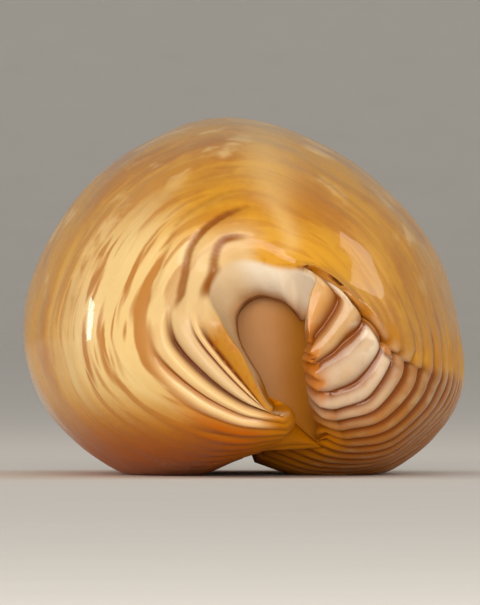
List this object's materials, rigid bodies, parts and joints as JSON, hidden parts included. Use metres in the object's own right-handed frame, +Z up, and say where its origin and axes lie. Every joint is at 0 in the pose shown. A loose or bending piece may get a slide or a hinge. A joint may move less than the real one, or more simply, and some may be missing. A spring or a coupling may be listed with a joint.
{
  "type": "cowrie shell",
  "caption": "Whole glossy cowrie shell with a spotted tan back, a toothed slit along its flat base and a channel at each end.",
  "frame": {"origin": "centre of the shell's outline on the surface it lies on", "axes": "+Y along the shell, from the spire end towards the canal end; +X towards the outer lip; +Z up, out of the back"},
  "size_m": [0.0374, 0.06, 0.0298],
  "materials": {
    "shell_glaze": "polished natural shell enamel, tan back with pale spots, cream and brown ridged base"
  },
  "bodies": {
    "root": {"shell": "shell_glaze"}
  },
  "joints": []
}
